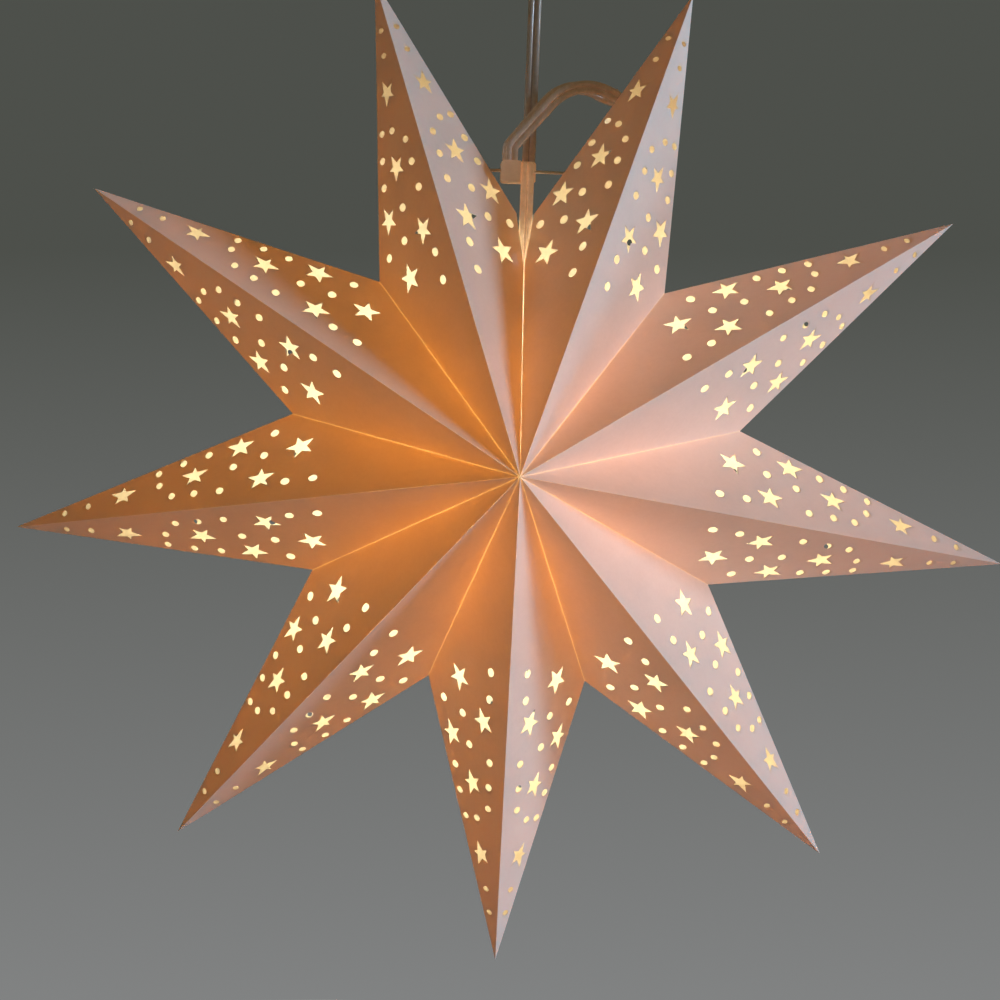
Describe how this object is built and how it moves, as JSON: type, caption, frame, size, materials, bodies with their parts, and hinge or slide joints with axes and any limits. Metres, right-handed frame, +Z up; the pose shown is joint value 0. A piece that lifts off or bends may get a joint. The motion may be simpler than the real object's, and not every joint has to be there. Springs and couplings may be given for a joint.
{
  "type": "hanging paper star lantern",
  "caption": "Folding pleated paper star lantern with cut-out stars and dots, hung by a wire in its seam over a corded lampholder and bulb.",
  "frame": {"origin": "centre of the star, half way between its front and rear apex, on the star's own axis", "axes": "+Z up along the hanging cable, star axis along Y with the front facing -Y, +X to the right seen from the front"},
  "size_m": [0.5852, 0.2016, 0.5926],
  "materials": {
    "paper": "matt translucent paper",
    "flex": "glossy translucent insulation",
    "grip": "moulded",
    "steel": "drawn wire",
    "eyelet": "dark",
    "holder": "moulded white",
    "block": "unglazed",
    "brass": "drawn",
    "screws": "turned",
    "glass": "frosted",
    "cap": "rolled",
    "black_glass": "moulded",
    "filament": "glowing"
  },
  "bodies": {
    "pendant": {"supply_cable": "flex", "slack_loop": "flex", "lamp_cable": "flex", "cord_grip_front": "grip", "cord_grip_back": "grip", "cord_grip_screw": "screws", "lampholder_cap": "holder", "lampholder_shell": "holder", "lampholder_insulator": "block", "screw_shell": "brass", "centre_contact": "brass", "terminal_screws": "screws"},
    "hanging_wire": {"wire_bracket": "steel"},
    "point_1_front_cw": {"point_1_front_cw": "paper"},
    "point_1_front_ccw": {"point_1_front_ccw": "paper"},
    "point_1_rear_cw": {"point_1_rear_cw": "paper", "eyelet_left": "eyelet"},
    "point_1_rear_ccw": {"point_1_rear_ccw": "paper"},
    "point_2_front_cw": {"point_2_front_cw": "paper"},
    "point_2_front_ccw": {"point_2_front_ccw": "paper"},
    "point_2_rear_cw": {"point_2_rear_cw": "paper"},
    "point_2_rear_ccw": {"point_2_rear_ccw": "paper", "eyelet_right": "eyelet"},
    "point_3_front_cw": {"point_3_front_cw": "paper"},
    "point_3_front_ccw": {"point_3_front_ccw": "paper"},
    "point_3_rear_cw": {"point_3_rear_cw": "paper"},
    "point_3_rear_ccw": {"point_3_rear_ccw": "paper"},
    "point_4_front_cw": {"point_4_front_cw": "paper"},
    "point_4_front_ccw": {"point_4_front_ccw": "paper"},
    "point_4_rear_cw": {"point_4_rear_cw": "paper"},
    "point_4_rear_ccw": {"point_4_rear_ccw": "paper"},
    "point_5_front_cw": {"point_5_front_cw": "paper"},
    "point_5_front_ccw": {"point_5_front_ccw": "paper"},
    "point_5_rear_cw": {"point_5_rear_cw": "paper"},
    "point_5_rear_ccw": {"point_5_rear_ccw": "paper"},
    "point_6_front_cw": {"point_6_front_cw": "paper"},
    "point_6_front_ccw": {"point_6_front_ccw": "paper"},
    "point_6_rear_cw": {"point_6_rear_cw": "paper"},
    "point_6_rear_ccw": {"point_6_rear_ccw": "paper"},
    "point_7_front_cw": {"point_7_front_cw": "paper"},
    "point_7_front_ccw": {"point_7_front_ccw": "paper"},
    "point_7_rear_cw": {"point_7_rear_cw": "paper"},
    "point_7_rear_ccw": {"point_7_rear_ccw": "paper"},
    "point_8_front_cw": {"point_8_front_cw": "paper"},
    "point_8_front_ccw": {"point_8_front_ccw": "paper"},
    "point_8_rear_cw": {"point_8_rear_cw": "paper"},
    "point_8_rear_ccw": {"point_8_rear_ccw": "paper"},
    "point_9_front_cw": {"point_9_front_cw": "paper"},
    "point_9_front_ccw": {"point_9_front_ccw": "paper"},
    "point_9_rear_cw": {"point_9_rear_cw": "paper"},
    "point_9_rear_ccw": {"point_9_rear_ccw": "paper"},
    "shade_ring": {"shade_ring": "holder"},
    "bulb": {"bulb_glass": "glass", "bulb_cap": "cap", "bulb_insulator": "black_glass", "bulb_contact": "cap", "bulb_stem": "glass", "bulb_filament": "filament"}
  },
  "joints": [
    {"name": "star_tilt", "type": "hinge", "parent": "pendant", "child": "hanging_wire", "pos_m": [0, 0.0032, 0.176], "axis": [1, 0, 0], "range_deg": [-4, 4]},
    {"name": "star_fold", "type": "hinge", "parent": "hanging_wire", "child": "point_6_front_cw", "pos_m": [0, -0.0525, -0.15], "axis": [0, 0.3304, -0.9439], "range_deg": [0, 20]},
    {"name": "ridge_6_front", "type": "hinge", "parent": "point_6_front_cw", "child": "point_6_front_ccw", "pos_m": [0, -0.0525, -0.15], "axis": [0, -0.3304, 0.9439], "range_deg": [0, 40]},
    {"name": "valley_6_7_front", "type": "hinge", "parent": "point_6_front_cw", "child": "point_7_front_ccw", "pos_m": [-0.02358, -0.0525, -0.0641], "axis": [0.2738, -0.6094, 0.7441], "range_deg": [0, 46]},
    {"name": "ridge_7_front", "type": "hinge", "parent": "point_7_front_ccw", "child": "point_7_front_cw", "pos_m": [-0.09722, -0.0525, -0.11423], "axis": [-0.6117, 0.3304, -0.7188], "range_deg": [0, 40]},
    {"name": "valley_7_8_front", "type": "hinge", "parent": "point_7_front_cw", "child": "point_8_front_ccw", "pos_m": [-0.0595, -0.0525, -0.03353], "axis": [0.6907, -0.6094, 0.3892], "range_deg": [0, 46]},
    {"name": "ridge_8_front", "type": "hinge", "parent": "point_8_front_ccw", "child": "point_8_front_cw", "pos_m": [-0.14807, -0.0525, -0.02398], "axis": [-0.9317, 0.3304, -0.1509], "range_deg": [0, 40]},
    {"name": "valley_8_9_front", "type": "hinge", "parent": "point_8_front_cw", "child": "point_9_front_ccw", "pos_m": [-0.06705, -0.0525, 0.01303], "axis": [0.7783, -0.6094, -0.1513], "range_deg": [0, 46]},
    {"name": "ridge_9_front", "type": "hinge", "parent": "point_9_front_ccw", "child": "point_9_front_cw", "pos_m": [-0.1283, -0.0525, 0.0777], "axis": [-0.8073, 0.3304, 0.4889], "range_deg": [0, 40]},
    {"name": "valley_9_1_front", "type": "hinge", "parent": "point_9_front_cw", "child": "point_1_front_ccw", "pos_m": [-0.04261, -0.0525, 0.05338], "axis": [0.4946, -0.6094, -0.6196], "range_deg": [0, 46]},
    {"name": "ridge_1_front", "type": "hinge", "parent": "point_1_front_ccw", "child": "point_1_front_cw", "pos_m": [-0.04735, -0.0525, 0.14233], "axis": [-0.2979, 0.3304, 0.8956], "range_deg": [0, 40]},
    {"name": "valley_5_6_front", "type": "hinge", "parent": "point_6_front_ccw", "child": "point_5_front_cw", "pos_m": [0.02358, -0.0525, -0.0641], "axis": [0.2738, 0.6094, -0.7441], "range_deg": [0, 46]},
    {"name": "ridge_5_front", "type": "hinge", "parent": "point_5_front_cw", "child": "point_5_front_ccw", "pos_m": [0.09722, -0.0525, -0.11423], "axis": [-0.6117, -0.3304, 0.7188], "range_deg": [0, 40]},
    {"name": "valley_4_5_front", "type": "hinge", "parent": "point_5_front_ccw", "child": "point_4_front_cw", "pos_m": [0.0595, -0.0525, -0.03353], "axis": [0.6907, 0.6094, -0.3892], "range_deg": [0, 46]},
    {"name": "ridge_4_front", "type": "hinge", "parent": "point_4_front_cw", "child": "point_4_front_ccw", "pos_m": [0.14807, -0.0525, -0.02398], "axis": [-0.9317, -0.3304, 0.1509], "range_deg": [0, 40]},
    {"name": "valley_3_4_front", "type": "hinge", "parent": "point_4_front_ccw", "child": "point_3_front_cw", "pos_m": [0.06705, -0.0525, 0.01303], "axis": [0.7783, 0.6094, 0.1513], "range_deg": [0, 46]},
    {"name": "ridge_3_front", "type": "hinge", "parent": "point_3_front_cw", "child": "point_3_front_ccw", "pos_m": [0.1283, -0.0525, 0.0777], "axis": [-0.8073, -0.3304, -0.4889], "range_deg": [0, 40]},
    {"name": "valley_2_3_front", "type": "hinge", "parent": "point_3_front_ccw", "child": "point_2_front_cw", "pos_m": [0.04261, -0.0525, 0.05338], "axis": [0.4946, 0.6094, 0.6196], "range_deg": [0, 46]},
    {"name": "ridge_2_front", "type": "hinge", "parent": "point_2_front_cw", "child": "point_2_front_ccw", "pos_m": [0.04735, -0.0525, 0.14233], "axis": [-0.2979, -0.3304, -0.8956], "range_deg": [0, 40]},
    {"name": "side_1_cw", "type": "hinge", "parent": "point_1_front_cw", "child": "point_1_rear_cw", "pos_m": [-0.0452, 0, 0.2106], "axis": [0.5556, 0, -0.8314], "range_deg": [0, 38.6]},
    {"name": "side_1_ccw", "type": "hinge", "parent": "point_1_front_ccw", "child": "point_1_rear_ccw", "pos_m": [-0.08996, 0, 0.19571], "axis": [-0.0532, 0, 0.9986], "range_deg": [0, 38.6]},
    {"name": "side_2_cw", "type": "hinge", "parent": "point_2_front_cw", "child": "point_2_rear_cw", "pos_m": [0.08996, 0, 0.19571], "axis": [-0.0532, 0, -0.9986], "range_deg": [0, 38.6]},
    {"name": "side_2_ccw", "type": "hinge", "parent": "point_2_front_ccw", "child": "point_2_rear_ccw", "pos_m": [0.0452, 0, 0.2106], "axis": [0.5556, 0, 0.8314], "range_deg": [0, 38.6]},
    {"name": "side_3_cw", "type": "hinge", "parent": "point_3_front_cw", "child": "point_3_rear_cw", "pos_m": [0.19535, 0, 0.09074], "axis": [-0.6877, 0, -0.726], "range_deg": [0, 38.6]},
    {"name": "side_3_ccw", "type": "hinge", "parent": "point_3_front_ccw", "child": "point_3_rear_ccw", "pos_m": [0.17092, 0, 0.13108], "axis": [0.962, 0, 0.2731], "range_deg": [0, 38.6]},
    {"name": "side_4_cw", "type": "hinge", "parent": "point_4_front_cw", "child": "point_4_rear_cw", "pos_m": [0.20757, 0, -0.05751], "axis": [-0.9942, 0, -0.1072], "range_deg": [0, 38.6]},
    {"name": "side_4_ccw", "type": "hinge", "parent": "point_4_front_ccw", "child": "point_4_rear_ccw", "pos_m": [0.21512, 0, -0.01095], "axis": [0.9096, 0, -0.4155], "range_deg": [0, 38.6]},
    {"name": "side_5_cw", "type": "hinge", "parent": "point_5_front_cw", "child": "point_5_rear_cw", "pos_m": [0.1208, 0, -0.17833], "axis": [-0.8266, 0, 0.5628], "range_deg": [0, 38.6]},
    {"name": "side_5_ccw", "type": "hinge", "parent": "point_5_front_ccw", "child": "point_5_rear_ccw", "pos_m": [0.15672, 0, -0.14776], "axis": [0.4234, 0, -0.906], "range_deg": [0, 38.6]},
    {"name": "side_6_cw", "type": "hinge", "parent": "point_6_front_cw", "child": "point_6_rear_cw", "pos_m": [-0.02358, 0, -0.2141], "axis": [-0.2648, 0, 0.9643], "range_deg": [0, 38.6]},
    {"name": "side_6_ccw", "type": "hinge", "parent": "point_6_front_ccw", "child": "point_6_rear_ccw", "pos_m": [0.02358, 0, -0.2141], "axis": [-0.2648, 0, -0.9643], "range_deg": [0, 38.6]},
    {"name": "side_7_cw", "type": "hinge", "parent": "point_7_front_cw", "child": "point_7_rear_cw", "pos_m": [-0.15672, 0, -0.14776], "axis": [0.4234, 0, 0.906], "range_deg": [0, 38.6]},
    {"name": "side_7_ccw", "type": "hinge", "parent": "point_7_front_ccw", "child": "point_7_rear_ccw", "pos_m": [-0.1208, 0, -0.17833], "axis": [-0.8266, 0, -0.5628], "range_deg": [0, 38.6]},
    {"name": "side_8_cw", "type": "hinge", "parent": "point_8_front_cw", "child": "point_8_rear_cw", "pos_m": [-0.21512, 0, -0.01095], "axis": [0.9096, 0, 0.4155], "range_deg": [0, 38.6]},
    {"name": "side_8_ccw", "type": "hinge", "parent": "point_8_front_ccw", "child": "point_8_rear_ccw", "pos_m": [-0.20757, 0, -0.05751], "axis": [-0.9942, 0, 0.1072], "range_deg": [0, 38.6]},
    {"name": "side_9_cw", "type": "hinge", "parent": "point_9_front_cw", "child": "point_9_rear_cw", "pos_m": [-0.17092, 0, 0.13108], "axis": [0.962, 0, -0.2731], "range_deg": [0, 38.6]},
    {"name": "side_9_ccw", "type": "hinge", "parent": "point_9_front_ccw", "child": "point_9_rear_ccw", "pos_m": [-0.19535, 0, 0.09074], "axis": [-0.6877, 0, 0.726], "range_deg": [0, 38.6]},
    {"name": "shade_ring_turn", "type": "hinge", "parent": "pendant", "child": "shade_ring", "pos_m": [0, 0, 0.035], "axis": [0, 0, 1], "range_deg": [0, 360]},
    {"name": "bulb_turn", "type": "hinge", "parent": "pendant", "child": "bulb", "pos_m": [0, 0, 0.035], "axis": [0, 0, 1], "range_deg": [0, 360]}
  ],
  "couplings": [
    {"joint": "ridge_6_front", "follows": "star_fold", "ratio": 2},
    {"joint": "valley_6_7_front", "follows": "star_fold", "ratio": 2.3},
    {"joint": "ridge_7_front", "follows": "star_fold", "ratio": 2},
    {"joint": "valley_7_8_front", "follows": "star_fold", "ratio": 2.3},
    {"joint": "ridge_8_front", "follows": "star_fold", "ratio": 2},
    {"joint": "valley_8_9_front", "follows": "star_fold", "ratio": 2.3},
    {"joint": "ridge_9_front", "follows": "star_fold", "ratio": 2},
    {"joint": "valley_9_1_front", "follows": "star_fold", "ratio": 2.3},
    {"joint": "ridge_1_front", "follows": "star_fold", "ratio": 2},
    {"joint": "valley_5_6_front", "follows": "star_fold", "ratio": 2.3},
    {"joint": "ridge_5_front", "follows": "star_fold", "ratio": 2},
    {"joint": "valley_4_5_front", "follows": "star_fold", "ratio": 2.3},
    {"joint": "ridge_4_front", "follows": "star_fold", "ratio": 2},
    {"joint": "valley_3_4_front", "follows": "star_fold", "ratio": 2.3},
    {"joint": "ridge_3_front", "follows": "star_fold", "ratio": 2},
    {"joint": "valley_2_3_front", "follows": "star_fold", "ratio": 2.3},
    {"joint": "ridge_2_front", "follows": "star_fold", "ratio": 2},
    {"joint": "side_1_cw", "follows": "star_fold", "ratio": 1.93},
    {"joint": "side_1_ccw", "follows": "star_fold", "ratio": 1.93},
    {"joint": "side_2_cw", "follows": "star_fold", "ratio": 1.93},
    {"joint": "side_2_ccw", "follows": "star_fold", "ratio": 1.93},
    {"joint": "side_3_cw", "follows": "star_fold", "ratio": 1.93},
    {"joint": "side_3_ccw", "follows": "star_fold", "ratio": 1.93},
    {"joint": "side_4_cw", "follows": "star_fold", "ratio": 1.93},
    {"joint": "side_4_ccw", "follows": "star_fold", "ratio": 1.93},
    {"joint": "side_5_cw", "follows": "star_fold", "ratio": 1.93},
    {"joint": "side_5_ccw", "follows": "star_fold", "ratio": 1.93},
    {"joint": "side_6_cw", "follows": "star_fold", "ratio": 1.93},
    {"joint": "side_6_ccw", "follows": "star_fold", "ratio": 1.93},
    {"joint": "side_7_cw", "follows": "star_fold", "ratio": 1.93},
    {"joint": "side_7_ccw", "follows": "star_fold", "ratio": 1.93},
    {"joint": "side_8_cw", "follows": "star_fold", "ratio": 1.93},
    {"joint": "side_8_ccw", "follows": "star_fold", "ratio": 1.93},
    {"joint": "side_9_cw", "follows": "star_fold", "ratio": 1.93},
    {"joint": "side_9_ccw", "follows": "star_fold", "ratio": 1.93}
  ]
}
